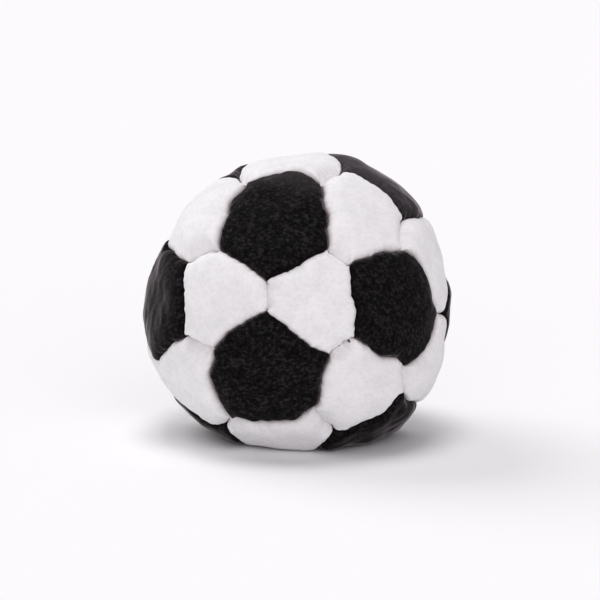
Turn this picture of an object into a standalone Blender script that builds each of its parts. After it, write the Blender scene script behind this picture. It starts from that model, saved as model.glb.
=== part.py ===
"""A footbag: thirty-two sewn fabric panels, their stitching and the loose fill, as separate solids.

Twelve black pentagons and twenty white hexagons lie round a ball like the faces of a truncated
icosahedron. Each panel is one thin piece of fabric. Its crown is puffed out, and its edges are
turned in as a hem. Two hems lie back to back along every seam, and stitches cross both of them
through needle holes. The bag rests on the floor, which flattens its lowest panels.

The ball's centre is the meshes' own origin, and the empty that carries them lifts it, so that
the flattened base lies at z = 0. The side in the photograph looks along -Y. Lengths are metres.
"""

import math
from itertools import combinations

import bpy
from mathutils import Matrix, Vector

# The ball of fill under the panels' crowns, and how far the floor presses the bag flat below
FILL_RADIUS = 0.0272
BASE_PRESS = 0.0050
BASE_EDGE_BLEND = 0.0012

# The bag isn't quite round: how far the fill pushes out (or leaves slack) round some panels
SWELL = {"E": 0.0012, "F": 0.0014, "C": 0.0003, "ADH": -0.0008, "DHK": -0.0014, "H": -0.0006, "G": -0.0007}
SWELL_REACH = 0.0240

# Fabric panels: thickness, valley at the seam, and the hem that is turned in
FABRIC = 0.0008
SEAM_VALLEY = 0.0014
SHOULDER_SET = 0.0014
SHOULDER_DROP = 0.0004
HEM_DEPTH = 0.0024
SEAM_GAP = 0.0003

# Stitching thread and the room round it
THREAD = 0.0005
NEEDLE_CLEARANCE = 0.00025
THREAD_CLEARANCE = 0.0003
FILL_CLEARANCE = 0.0003
VALLEY_ROOM = 0.0012

# The panels' crowns lie round the fill
CROWN_RADIUS = FILL_RADIUS + FILL_CLEARANCE + FABRIC

# Points closer than this are one vertex
SAME_POINT = 0.0000002

# Where a seam corner lies on the line between two neighbouring pentagons' centres
PENTAGON_SHARE = 0.413
# Shares of a seam's length where stitches cross it: the thread comes back on a long seam,
# but crosses once where it must end up on the other side, and on a seam between two whites
LONG_SEAM_SHARES = (0.35, 0.65)
CHANGE_SIDE_SHARES = (0.5,)
WHITE_SEAM_SHARES = (0.5,)
STITCH_DEPTH_SHARE = 0.6
CROWN_RING_SHARE = 0.5
INNER_FOLD_SHARE = 0.5

# Number of straight pieces along a long and a short seam, outside and inside the fabric
OUTER_PIECES = (4, 2)
INNER_PIECES = (2, 1)
ROUNDS_TO_SETTLE = 4

# Between the centres of two neighbouring pentagons, and the slack when telling them apart
NEXT_PENTAGON_ANGLE = math.atan(2.0)
ANGLE_SLACK = 1.2
# Edges bent more sharply than this many degrees are shaded as creases
CREASE_ANGLE = 40.0

# How the ball lies in the photograph: turn about the pole, tip of the pole, turn about Z, in degrees
POLE_TURN, POLE_TIP, STANDING_TURN = -70.5, 43.0, -103.0

# How far hand-sewn corners lie off the regular pattern: to the right and up along the ball,
# as seen from outside
CORNER_DRIFT = {
    "AB": (0.0002, -0.0001), "BA": (0.0004, 0.0005), "AC": (-0.0010, -0.0004),
    "CA": (-0.0021, -0.0001), "CB": (-0.0006, 0.0005), "BC": (0.0003, 0.0000),
    "AD": (0.0024, -0.0009), "DA": (0.0004, -0.0006), "DB": (0.0006, 0.0000),
    "BD": (0.0017, 0.0007), "AH": (-0.0009, 0.0010), "HA": (-0.0007, 0.0006),
    "AE": (0.0004, 0.0003), "EA": (0.0011, 0.0012), "CE": (-0.0038, -0.0004),
    "EC": (-0.0017, 0.0001), "CF": (-0.0013, 0.0008), "FC": (0.0000, 0.0015),
    "BF": (0.0004, 0.0030), "FB": (0.0001, 0.0009), "BG": (-0.0007, -0.0009),
    "GB": (0.0008, 0.0010), "DG": (-0.0004, 0.0000), "CI": (-0.0020, -0.0001),
    "IC": (-0.0036, 0.0003),
}

BLACK_LETTERS = "ADBCEHGFIJKL"
BLACK = (0.012, 0.011, 0.012, 1.0)
WHITE = (0.80, 0.78, 0.80, 1.0)
THREAD_COLOUR = (0.055, 0.035, 0.035, 1.0)
PELLET_COLOUR = (0.62, 0.60, 0.55, 1.0)


def clear_scene():
    for item in list(bpy.data.objects):
        bpy.data.objects.remove(item, do_unlink=True)


# The pattern of the panels

def black_centres():
    """Unit vectors to the centres of the twelve black pentagons, by letter, as the ball lies."""
    centres = {"A": Vector((0, 0, 1)), "L": Vector((0, 0, -1))}
    fifth = math.tau / 5
    for index, letter in enumerate("DBCEH"):
        centres[letter] = pointing(NEXT_PENTAGON_ANGLE, index * fifth)
    for index, letter in enumerate("GFIJK"):
        centres[letter] = pointing(math.pi - NEXT_PENTAGON_ANGLE, (index + 0.5) * fifth)
    lie = (
        Matrix.Rotation(math.radians(STANDING_TURN), 3, "Z")
        @ Matrix.Rotation(math.radians(POLE_TIP), 3, "Y")
        @ Matrix.Rotation(math.radians(POLE_TURN), 3, "Z")
    )
    return {letter: lie @ centres[letter] for letter in BLACK_LETTERS}


def pointing(tip, turn):
    """The unit vector tipped from +Z and turned about Z by these angles."""
    return Vector((math.sin(tip) * math.cos(turn), math.sin(tip) * math.sin(turn), math.cos(tip)))


def neighbours(centres):
    """The pairs of pentagons with one white/white seam between them."""
    return [
        pair for pair in combinations(centres, 2)
        if centres[pair[0]].angle(centres[pair[1]]) < NEXT_PENTAGON_ANGLE * ANGLE_SLACK
    ]


def seam_corners(centres, pairs):
    """The seam corners, named by the pentagon that holds them and the one that they point to."""
    corners = {}
    for first, second in pairs:
        for near, far in ((first, second), (second, first)):
            place = centres[near].lerp(centres[far], PENTAGON_SHARE).normalized()
            right = Vector((0, 0, 1)).cross(place).normalized()
            to_right, to_up = CORNER_DRIFT.get(near + far, (0.0, 0.0))
            drift = right * to_right + place.cross(right) * to_up
            corners[near + far] = (place + drift / CROWN_RADIUS).normalized()
    return corners


class Panel:
    """One panel: its name, the corners round it anticlockwise from outside, and its seams."""

    def __init__(self, name, letters, corner_names, corners, centre):
        self.name = name
        self.letters = letters
        self.corner_names = anticlockwise(corner_names, corners, centre)
        self.corners = [corners[key] for key in self.corner_names]
        self.count = len(self.corners)
        self.centre = sum(self.corners, Vector()).normalized()
        self.inward = [
            self.corners[side].cross(self.corners[(side + 1) % self.count]).normalized()
            for side in range(self.count)
        ]

    def side_is_long(self, side):
        """A long side borders a black panel: both its corners belong to one pentagon."""
        return self.corner_names[side][0] == self.corner_names[(side + 1) % self.count][0]


def anticlockwise(names, corners, centre):
    across = corners[names[0]] - centre * centre.dot(corners[names[0]])
    across.normalize()
    upward = centre.cross(across)
    return sorted(names, key=lambda name: math.atan2(corners[name].dot(upward), corners[name].dot(across)))


def all_panels(centres, pairs, corners):
    linked = {frozenset(pair) for pair in pairs}
    panels = []
    for letter in sorted(centres):
        names = [letter + other for other in centres if frozenset((letter, other)) in linked]
        panels.append(Panel("black_pentagon_" + letter.lower(), letter, names, corners, centres[letter]))
    for trio in combinations(sorted(centres), 3):
        if all(frozenset(pair) in linked for pair in combinations(trio, 2)):
            names = [near + far for near in trio for far in trio if near != far]
            centre = sum((centres[letter] for letter in trio), Vector()).normalized()
            letters = "".join(trio)
            panels.append(Panel("white_hexagon_" + letters.lower(), letters, names, corners, centre))
    return panels


def neighbour_across(panels, panel, side):
    """The other panel that shares a side's two corners."""
    names = {panel.corner_names[side], panel.corner_names[(side + 1) % panel.count]}
    return next(other for other in panels if other is not panel and names <= set(other.corner_names))


# The shape of the filled bag

class Bag:
    """The outer envelope that the panels' crowns reach: a lumpy ball with a flattened base."""

    def __init__(self, centres):
        self.centre_height = CROWN_RADIUS - BASE_PRESS
        self.lumps = [
            (sum((centres[letter] for letter in letters), Vector()).normalized(), amount)
            for letters, amount in SWELL.items()
        ]

    def reach(self, way):
        """Distance from the ball's centre to the envelope along a unit vector."""
        rounded = CROWN_RADIUS
        for lump, amount in self.lumps:
            off = CROWN_RADIUS * lump.angle(way)
            if off < SWELL_REACH:
                rounded += amount * (0.5 + 0.5 * math.cos(math.pi * off / SWELL_REACH))
        if way.z >= 0:
            return rounded
        flat = self.centre_height / -way.z
        overlap = max(BASE_EDGE_BLEND - abs(rounded - flat), 0.0)
        return min(rounded, flat) - overlap ** 2 / (4 * BASE_EDGE_BLEND)

    def on_ray(self, way, depth):
        return way * (self.reach(way) - depth)

    def settle(self, at_radius, depth):
        """The point of a path outwards that lies this deep below the envelope over it."""
        radius = CROWN_RADIUS
        for _ in range(ROUNDS_TO_SETTLE):
            radius = self.reach(at_radius(radius).normalized()) - depth
        return at_radius(radius)

    def at_corner(self, panel, index, offset, depth, from_seam=False):
        """Point beside a seam corner, this far from both seams and this deep.

        The depth is below the envelope over the point itself, or over the seam.
        """
        before, after = panel.inward[index - 1], panel.inward[index]
        aside = (before + after) * (offset / (1 + before.dot(after)))
        corner = panel.corners[index]

        def at_radius(radius):
            return aside + corner * math.sqrt(radius ** 2 - aside.length_squared)

        return at_radius(self.reach(corner) - depth) if from_seam else self.settle(at_radius, depth)

    def along_side(self, panel, side, share, offset, depth, from_seam=False):
        """Point a share of the way along a side, this far from its seam and this deep."""
        inward = panel.inward[side]
        after = (side + 1) % panel.count
        ends = [
            (self.at_corner(panel, index, offset, depth, from_seam) - inward * offset).normalized()
            for index in (side, after)
        ]
        along = ends[0].slerp(ends[1], share)

        def at_radius(radius):
            return inward * offset + along * math.sqrt(radius ** 2 - offset ** 2)

        if from_seam:
            return at_radius(self.reach(panel.corners[side].slerp(panel.corners[after], share)) - depth)
        return self.settle(at_radius, depth)

    def ring(self, panel, offset, depth, counts, from_seam=False):
        """One closed ring inside a panel's outline, as a list of points for each side."""
        sides = []
        for side in range(panel.count):
            pieces = counts[0] if panel.side_is_long(side) else counts[1]
            points = [self.at_corner(panel, side, offset, depth, from_seam)]
            for step in range(1, pieces):
                points.append(self.along_side(panel, side, step / pieces, offset, depth, from_seam))
            sides.append(points)
        return sides

    def hung_corners(self, panel, offset, depth):
        """The corners of a panel's outline where it hangs from the seams, as for a hem's foot."""
        return [self.at_corner(panel, index, offset, depth, from_seam=True) for index in range(panel.count)]

    def ring_towards_centre(self, panel, ring, share, depth):
        """A ring moved a share of the way to the panel's centre, at its own depth."""
        return [
            [self.on_ray(point.normalized().lerp(panel.centre, share).normalized(), depth) for point in side]
            for side in ring
        ]


# Meshes out of points and faces

class Skin:
    """Collects points and faces. Points given twice become one vertex."""

    def __init__(self):
        self.vertices = []
        self.faces = []
        self.places = {}

    def vertex(self, point):
        key = tuple(round(value / SAME_POINT) for value in point)
        if key not in self.places:
            self.places[key] = len(self.vertices)
            self.vertices.append(tuple(point))
        return self.places[key]

    def face(self, points, flip=False):
        numbers = [self.vertex(point) for point in points]
        self.faces.append(numbers[::-1] if flip else numbers)

    def fan(self, ring, tip, flip=False):
        loop = [point for side in ring for point in side]
        for index, point in enumerate(loop):
            self.face([tip, point, loop[(index + 1) % len(loop)]], flip)

    def band(self, outer, inner, flip=False):
        """Quads between two rings with as many points, as two triangles each."""
        outside = [point for side in outer for point in side]
        inside = [point for side in inner for point in side]
        for index in range(len(outside)):
            after = (index + 1) % len(outside)
            self.quad(outside[index], outside[after], inside[after], inside[index], flip)

    def zip_chains(self, upper, lower, along, flip=False):
        """Triangles between two chains that run the same way, each step to the nearer next point."""
        high = low = 0
        while high < len(upper) - 1 or low < len(lower) - 1:
            step_high = low == len(lower) - 1 or (
                high < len(upper) - 1 and upper[high + 1].dot(along) <= lower[low + 1].dot(along)
            )
            if step_high:
                self.face([lower[low], upper[high + 1], upper[high]], flip)
                high += 1
            else:
                self.face([lower[low], lower[low + 1], upper[high]], flip)
                low += 1

    def wall(self, top, feet, holes, flip=False):
        """A flat wall from its top edge to its two feet, with needle holes in a row."""
        along = (feet[1] - feet[0]).normalized()
        if not holes:
            self.zip_chains(top, feet, along, flip)
            return
        hole_tops = [point for hole in holes for point in (hole[3], hole[2])]
        hole_feet = [point for hole in holes for point in (hole[0], hole[1])]
        self.zip_chains(top, hole_tops, along, flip)
        self.zip_chains(hole_feet, feet, along, flip)
        self.quad(feet[0], hole_feet[0], hole_tops[0], top[0], flip)
        self.quad(hole_feet[-1], feet[1], top[-1], hole_tops[-1], flip)
        for before, after in zip(holes, holes[1:]):
            self.quad(before[1], after[0], after[3], before[2], flip)

    def quad(self, first, second, third, fourth, flip=False):
        self.face([first, second, third], flip)
        self.face([first, third, fourth], flip)

    def make_object(self, name, material, carrier):
        mesh = bpy.data.meshes.new(name)
        mesh.from_pydata(self.vertices, [], self.faces)
        mesh.materials.append(material)
        mesh.shade_smooth()
        mesh.set_sharp_from_angle(angle=math.radians(CREASE_ANGLE))
        made = bpy.data.objects.new(name, mesh)
        bpy.context.scene.collection.objects.link(made)
        made.parent = carrier
        return made


# The panels

def needle_hole(bag, panel, side, share, offset):
    """The four corners of a needle hole on the flat that lies this far from the seam."""
    start, end = panel.corners[side], panel.corners[(side + 1) % panel.count]
    outward, along, radius = stitch_frame(bag, start, end, share)
    reach = THREAD / 2 + NEEDLE_CLEARANCE
    middle = panel.inward[side] * offset + outward * radius
    return [
        middle + along * (reach * way_along) + outward * (reach * way_out)
        for way_along, way_out in ((-1, -1), (1, -1), (1, 1), (-1, 1))
    ]


def build_panel(bag, panel, centres, material, carrier):
    near, far = SEAM_GAP / 2, SEAM_GAP / 2 + FABRIC
    hem_foot = SEAM_VALLEY + HEM_DEPTH
    skin = Skin()

    edge = bag.ring(panel, near, SEAM_VALLEY, OUTER_PIECES, from_seam=True)
    shoulder = bag.ring(panel, near + SHOULDER_SET, SHOULDER_DROP, OUTER_PIECES)
    crown = bag.ring_towards_centre(panel, shoulder, CROWN_RING_SHARE, 0.0)
    skin.band(edge, shoulder)
    skin.band(shoulder, crown)
    skin.fan(crown, bag.on_ray(panel.centre, 0.0))

    inner_edge = bag.ring(panel, far, SEAM_VALLEY + FABRIC * INNER_FOLD_SHARE, INNER_PIECES, from_seam=True)
    inner_shoulder, inner_crown = inner_rings(bag, panel, 0.0)
    skin.band(inner_edge, inner_shoulder, flip=True)
    skin.band(inner_shoulder, inner_crown, flip=True)
    skin.fan(inner_crown, bag.on_ray(panel.centre, FABRIC), flip=True)

    foot_near = bag.hung_corners(panel, near, hem_foot)
    foot_far = bag.hung_corners(panel, far, hem_foot)
    for side in range(panel.count):
        after = (side + 1) % panel.count
        shares = stitch_shares(centres, panel.corner_names[side], panel.corner_names[after])
        near_holes = [needle_hole(bag, panel, side, share, near) for share in shares]
        far_holes = [needle_hole(bag, panel, side, share, far) for share in shares]
        skin.wall(edge[side] + edge[after][:1], (foot_near[side], foot_near[after]), near_holes)
        inner_top = inner_edge[side] + inner_edge[after][:1]
        skin.wall(inner_top, (foot_far[side], foot_far[after]), far_holes, flip=True)
        skin.quad(foot_near[side], foot_far[side], foot_far[after], foot_near[after])
        for near_hole, far_hole in zip(near_holes, far_holes):
            for index in range(4):
                turn = (index + 1) % 4
                skin.quad(near_hole[index], near_hole[turn], far_hole[turn], far_hole[index])
    return skin.make_object(panel.name, material, carrier)


def inner_rings(bag, panel, below):
    """Shoulder and crown rings on the fabric's inner side, or this far below it."""
    offset = fill_rim_offset()
    depth = SHOULDER_DROP + FABRIC
    shoulder = bag.ring(panel, offset, depth, INNER_PIECES)
    crown = bag.ring_towards_centre(panel, shoulder, CROWN_RING_SHARE, FABRIC + below)
    return bag.ring(panel, offset, depth + below, INNER_PIECES), crown


# The stitching

def thread_run_offset():
    """Distance from the seam to the middle of the thread where it runs along a hem."""
    return SEAM_GAP / 2 + FABRIC + THREAD_CLEARANCE + THREAD / 2


def fill_rim_offset():
    """Distance from the seam to the fill's rim, which clears the thread."""
    return thread_run_offset() + THREAD / 2 + FILL_CLEARANCE


def takes_white_seam(centres, corner_name):
    """Whether a pentagon's thread turns off at this corner to sew the white/white seam there.

    The seam goes with the higher of the two pentagons that it joins.
    """
    return centres[corner_name[0]].z > centres[corner_name[1]].z


def stitch_shares(centres, first, second):
    """Where the thread crosses the seam between two corners, as shares of its length."""
    if first[0] != second[0]:
        return WHITE_SEAM_SHARES
    if takes_white_seam(centres, first) != takes_white_seam(centres, second):
        return CHANGE_SIDE_SHARES
    return LONG_SEAM_SHARES


def stitch_frame(bag, start, end, share):
    """Where a stitch crosses the seam from start to end: outward way, way along it, and radius."""
    outward = start.slerp(end, share)
    along = (end - outward * end.dot(outward)).normalized()
    return outward, along, bag.reach(outward) - SEAM_VALLEY - HEM_DEPTH * STITCH_DEPTH_SHARE


def beside_seam(bag, start, end, share, panel):
    """Middle of the thread beside a seam, on one panel's side."""
    outward, _, radius = stitch_frame(bag, start, end, share)
    aside = start.cross(end).normalized()
    if aside.dot(panel.centre) < 0:
        aside.negate()
    return aside * thread_run_offset() + outward * radius


def in_corner(bag, panel, corner_name):
    """Middle of the thread where it turns inside a panel's corner."""
    depth = SEAM_VALLEY + HEM_DEPTH * STITCH_DEPTH_SHARE
    index = panel.corner_names.index(corner_name)
    return bag.at_corner(panel, index, thread_run_offset(), depth, from_seam=True)


def thread_route(bag, centres, corners, pentagon, across):
    """The points of one closed thread: round a pentagon, and along the white seams it takes."""
    route = []
    for side, name in enumerate(pentagon.corner_names):
        before, after = across[side - 1], across[side]
        inside = pentagon
        if takes_white_seam(centres, name):
            seam = (corners[name], corners[name[::-1]])
            route.append(in_corner(bag, before, name))
            for share in WHITE_SEAM_SHARES:
                route.append(beside_seam(bag, *seam, share, before))
                route.append(beside_seam(bag, *seam, share, after))
            inside = after
        route.append(in_corner(bag, inside, name))
        next_name = pentagon.corner_names[(side + 1) % pentagon.count]
        seam = (corners[name], corners[next_name])
        for share in stitch_shares(centres, name, next_name):
            outside = after if inside is pentagon else pentagon
            route.append(beside_seam(bag, *seam, share, inside))
            route.append(beside_seam(bag, *seam, share, outside))
            inside = outside
    return route


def build_thread(bag, name, route, material, carrier):
    """A thread of square section along a closed route, mitred where it turns."""
    half = THREAD / 2
    sections = []
    for index, point in enumerate(route):
        outward = point.normalized()
        arriving = sideways(point - route[index - 1], outward)
        leaving = sideways(route[(index + 1) % len(route)] - point, outward)
        lean = (arriving + leaving) * (half / (1 + arriving.dot(leaving)))
        rise = outward * half
        sections.append([point + lean + rise, point - lean + rise, point - lean - rise, point + lean - rise])
    skin = Skin()
    for before, after in zip(sections, sections[1:] + sections[:1]):
        for index in range(len(before)):
            turn = (index + 1) % len(before)
            skin.quad(before[turn], after[turn], after[index], before[index])
    return skin.make_object(name, material, carrier)


def sideways(step, outward):
    """The unit vector square to a step of the thread, along the bag's surface."""
    return outward.cross(step).normalized()


# The fill

def build_fill(bag, panels, material, carrier):
    """The loose pellets as one body: a crown under each panel and a valley round each hem."""
    floor = SEAM_VALLEY + HEM_DEPTH + VALLEY_ROOM
    skin = Skin()
    floor_corners = {}
    seams = {}
    for panel in panels:
        rim, crown = inner_rings(bag, panel, FILL_CLEARANCE)
        skin.band(rim, crown)
        skin.fan(crown, bag.on_ray(panel.centre, FABRIC + FILL_CLEARANCE))
        feet = bag.hung_corners(panel, fill_rim_offset(), floor)
        for side in range(panel.count):
            after = (side + 1) % panel.count
            skin.wall(rim[side] + rim[after][:1], (feet[side], feet[after]), [])
            names = (panel.corner_names[side], panel.corner_names[after])
            seams.setdefault(frozenset(names), []).append((feet[side], feet[after]))
            floor_corners.setdefault(names[0], []).append(feet[side])
    for (first_start, first_end), (second_start, second_end) in seams.values():
        skin.quad(first_end, first_start, second_end, second_start)
    for feet in floor_corners.values():
        facing = (feet[1] - feet[0]).cross(feet[2] - feet[0])
        skin.face(feet, facing.dot(feet[0]) < 0)
    return skin.make_object("pellet_fill", material, carrier)


def make_material(name, colour, roughness):
    material = bpy.data.materials.new(name)
    material.use_nodes = True
    shader = material.node_tree.nodes["Principled BSDF"]
    shader.inputs["Base Color"].default_value = colour
    shader.inputs["Roughness"].default_value = roughness
    shader.inputs["Metallic"].default_value = 0.0
    material.diffuse_color = colour
    return material


def stand_on_floor(carrier, made):
    """Place the ball's centre so that the base lies at z = 0, midway between the bag's sides."""
    corners = [vertex.co for item in made for vertex in item.data.vertices]
    middle = [(min(c[axis] for c in corners) + max(c[axis] for c in corners)) / 2 for axis in (0, 1)]
    height = -min(corner.z for corner in corners)
    carrier.location = (-middle[0], -middle[1], height)


def main():
    clear_scene()
    centres = black_centres()
    pairs = neighbours(centres)
    corners = seam_corners(centres, pairs)
    panels = all_panels(centres, pairs, corners)
    bag = Bag(centres)

    carrier = bpy.data.objects.new("ball_centre", None)
    bpy.context.scene.collection.objects.link(carrier)
    made = []
    for panel in panels:
        black = len(panel.letters) == 1
        material = make_material(panel.name + "_fabric", BLACK if black else WHITE, 0.95 if black else 0.9)
        made.append(build_panel(bag, panel, centres, material, carrier))
    stand_on_floor(carrier, made)

    for pentagon in panels[:len(BLACK_LETTERS)]:
        across = [neighbour_across(panels, pentagon, side) for side in range(pentagon.count)]
        route = thread_route(bag, centres, corners, pentagon, across)
        name = "thread_round_pentagon_" + pentagon.letters.lower()
        build_thread(bag, name, route, make_material(name, THREAD_COLOUR, 0.8), carrier)

    build_fill(bag, panels, make_material("plastic_pellets", PELLET_COLOUR, 0.6), carrier)


main()
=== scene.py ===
"""Looks of the footbag: thirty-two puffed suede panels sewn round a fill, on a white table.

Every panel of the frame is replaced by a finely meshed one. Its top is worked out as a distance
from the ball's centre for each direction, blown out by a cloth simulation, and given its rolled
edges, stitch scallops and puckers. Shapes are in millimetres from the ball's centre until they
are put into a mesh, and the side in the photograph looks along -Y.
"""

import math
from itertools import combinations

import bpy
import numpy as np
from mathutils import Matrix


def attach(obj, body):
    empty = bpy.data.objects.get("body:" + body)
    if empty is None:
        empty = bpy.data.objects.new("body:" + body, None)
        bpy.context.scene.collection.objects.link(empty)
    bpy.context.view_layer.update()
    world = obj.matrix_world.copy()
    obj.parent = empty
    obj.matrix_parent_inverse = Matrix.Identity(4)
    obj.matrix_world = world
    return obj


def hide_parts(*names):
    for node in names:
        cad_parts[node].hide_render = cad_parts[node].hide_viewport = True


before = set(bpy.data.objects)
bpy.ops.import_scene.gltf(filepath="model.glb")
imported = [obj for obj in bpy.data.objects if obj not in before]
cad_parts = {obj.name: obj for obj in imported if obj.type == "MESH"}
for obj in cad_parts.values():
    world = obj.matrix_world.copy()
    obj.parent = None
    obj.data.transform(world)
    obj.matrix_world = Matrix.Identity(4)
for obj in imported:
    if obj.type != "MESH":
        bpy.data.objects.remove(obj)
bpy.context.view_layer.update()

MM = 0.001

# The ball, as the frame has it, in millimetres. The table presses its base flat.
BALL_CENTRE = np.array([-0.36, 0.01, 23.3])
CROWN_RADIUS = 28.3
BASE_PRESS = 5.0
BASE_EDGE_BLEND = 1.2
FABRIC = 0.8
HEM_DEPTH = 2.4

# Broad swells and dips of the ball: the pentagons that each lies on or between, and its height.
# The slack between A, E and H is only shown here. The solids have all the others.
SWELL = {
    "E": 1.2, "F": 1.4, "C": 0.3, "ADH": -0.8, "DHK": -1.4, "H": -0.6, "G": -0.7, "AEH": -0.5,
}
SWELL_REACH = 24.0

# How the ball lies, in degrees, and where a seam corner lies between two pentagons
POLE_TURN, POLE_TIP, STANDING_TURN = -70.5, 43.0, -103.0
PENTAGON_SHARE = 0.413
CAMERA_TIP = 12.0
BLACK_LETTERS = "ADBCEHGFIJKL"
NEXT_PENTAGON_ANGLE = math.atan(2.0)

# How far hand-sewn corners lie off the regular pattern, in millimetres to the right and up
CORNER_DRIFT = {
    "AB": (0.2, -0.1), "BA": (0.4, 0.5), "AC": (-1.0, -0.4), "CA": (-2.1, -0.1), "CB": (-0.6, 0.5),
    "BC": (0.3, 0.0), "AD": (2.4, -0.9), "DA": (0.4, -0.6), "DB": (0.6, 0.0), "BD": (1.7, 0.7),
    "AH": (-0.9, 1.0), "HA": (-0.7, 0.6), "AE": (0.4, 0.3), "EA": (1.1, 1.2), "CE": (-3.8, -0.4),
    "EC": (-1.7, 0.1), "CF": (-1.3, 0.8), "FC": (0.0, 1.5), "BF": (0.4, 3.0), "FB": (0.1, 0.9),
    "BG": (-0.7, -0.9), "GB": (0.8, 1.0), "DG": (-0.4, 0.0), "CI": (-2.0, -0.1), "IC": (-3.6, 0.3),
}

# How far a black panel's edge bows out, at five even shares of the seam, in millimetres
BOW_SHARES = np.arange(1, 6) / 6
BOWS = {
    ("AE", "AH"): (1.4, 2.7, 2.5, 2.2, 0.7),
    ("AH", "AD"): (-0.2, 0.9, 0.6, 0.3, 0.5),
    ("AD", "AB"): (-0.1, -0.3, -0.3, -0.4, -0.3),
    ("AB", "AC"): (-0.1, 0.4, 0.4, 0.1, 0.2),
    ("AC", "AE"): (0.1, 0.2, 0.4, -0.2, 0.2),
    ("BC", "BA"): (-0.5, -0.7, -0.5, -0.2, -0.2),
    ("BA", "BD"): (0.3, 0.5, 0.8, 0.7, 0.4),
    ("BD", "BG"): (0.5, 1.8, 1.7, 1.3, 0.8),
    ("BG", "BF"): (-0.7, 0.7, 0.7, 1.4, 1.0),
    ("BF", "BC"): (0.5, 0.0, -0.2, -0.5, -0.3),
    ("CA", "CB"): (0.2, 0.4, 0.0, -0.3, -0.1),
    ("CB", "CF"): (-0.1, 0.3, 0.4, -0.2, -0.8),
    ("CF", "CI"): (0.9, 1.4, 1.7, 1.5, 0.4),
    ("CI", "CE"): (-0.6, 0.0, 1.1, 1.5, 1.2),
    ("CE", "CA"): (-0.1, 0.3, 0.6, 0.2, 0.4),
    ("DG", "DB"): (0.3, -0.2, 0.0, -0.5, -0.1),
    ("DB", "DA"): (0.6, 0.7, 0.4, -0.2, -0.3),
    ("DA", "DH"): (-0.4, -0.5, -0.3, -0.6, 0.7),
    ("EA", "EC"): (-1.0, -1.0, -1.1, -0.9, -0.4),
    ("EC", "EI"): (0.1, 0.3, 0.2, 0.0, 0.0),
    ("EH", "EA"): (-0.5, -1.0, -1.2, -1.5, -1.1),
    ("FB", "FG"): (0.8, 1.0, 0.8, 0.3, 0.0),
    ("FC", "FB"): (0.4, -0.9, -0.6, 0.1, -0.5),
    ("FI", "FC"): (0.0, -0.2, -0.4, -0.8, -1.0),
    ("GB", "GD"): (-1.4, -1.4, -1.0, -0.5, 0.0),
    ("GF", "GB"): (0.0, -0.4, -0.8, -0.2, -0.4),
    ("HD", "HA"): (-2.2, -3.2, -3.4, -2.8, -1.4),
    ("HA", "HE"): (-1.8, -3.0, -3.4, -2.8, -1.5),
    ("IE", "IC"): (-0.1, -0.2, 0.3, 0.9, 0.6),
    ("IC", "IF"): (0.2, -0.2, -0.5, -0.4, -0.2),
}
# Seams between two whites bow to the left of the way from the first corner to the second
WHITE_BOWS = {
    ("AD", "DA"): -0.8, ("DB", "BD"): -0.3, ("EA", "AE"): -0.6, ("FC", "CF"): -0.6,
    ("BF", "FB"): -0.6,
}
# Any other seam bows by chance, up to this far
LOOSE_BOW = 0.45

# Depth of a panel below the ball's envelope, in millimetres. Its edge is rolled in at a black
# panel's seam and soft at a seam between whites. Behind the edge comes a slope, then a flat crown.
EDGE_DEPTH, EDGE_ROLL, EDGE_POWER = 1.30, 1.55, 2.2
SOFT_DEPTH, SOFT_ROLL, SOFT_POWER = 1.7, 3.2, 1.9
SHOULDER_SLOPE, SHOULDER_REACH = 0.40, 3.0
FLAT_CROWN, CROWN_REACH = 0.70, 5.0
# The power at which the distances to all sides become one
SIDE_POWER = 5.0

# The gap that a seam leaves open, how much of it a seam between whites has, and where it closes
SEAM_GAP = 0.12
SOFT_GAP_SHARE = 0.1
GAP_REACH = 0.6

# Stitches: their pitch, how unevenly they come, and how hard each is drawn, from 0.1 to 1
STITCH_PITCH = 1.45
STITCH_DRIFT = 0.25
DRAWN_MEAN, DRAWN_SWING = 0.55, 0.45
DRAWN_WAVES = (0.31, 0.19)
SOFT_STITCH_SHARE = 0.4

# What they do to the edges, as height and size or reach: a wobble, scallops, pinches and puckers
WOBBLE = ((0.10, 5.3), (0.06, 2.4))
SCALLOP = 0.09
CORNER_FADE = 0.4
PINCH, PINCH_REACH = 0.20, 0.5
PUCKER, PUCKER_REACH = 0.04, 1.4
TUCK_REACH = 1.1

# Unevenness from the fill: height and size of the lumps
LUMPS = ((0.11, 9.0), (0.03, 3.0))

# Panels that stand fuller or slacker than the rest at their middle, in millimetres
PANEL_RISE = {
    "black_pentagon_d": -0.6, "black_pentagon_e": -0.5, "black_pentagon_f": -0.6,
    "black_pentagon_g": -0.3, "black_pentagon_h": -1.8, "black_pentagon_i": -0.9,
    "white_hexagon_adh": 0.7, "white_hexagon_aeh": -0.8, "white_hexagon_bfg": -0.4,
    "white_hexagon_cei": -0.7, "white_hexagon_cfi": 0.4, "white_hexagon_dgk": -0.9,
    "white_hexagon_dhk": -1.6, "white_hexagon_fil": -0.8,
}

# Tucks, where a stitch is drawn in deeper: share of the seam, depth and width in millimetres
TUCKS = {
    ("BG", "BF"): ((0.37, 0.5, 0.9), (0.87, 0.6, 0.9)),
    ("BC", "CB"): ((0.42, 0.3, 0.5), (0.70, 0.8, 0.6)),
    ("AE", "AH"): ((0.56, 0.3, 0.6),),
}

# Cells along half a seam, in the finished panel, its cloth and its back, and how they crowd
TOP_CELLS, CLOTH_CELLS, BACK_CELLS = 42, 14, 7
CLUSTER = 1.35
WELD_DISTANCE = 1e-5

# A panel's shell, in millimetres: the hem's first step down, the room behind the fabric, the room
# over the table, and how far from a seam the cloth moves freely
HEM_STEP = 0.6
BACK_ROOM = 0.2
TABLE_ROOM = 0.02
MOVE_REACH = 0.6

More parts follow.
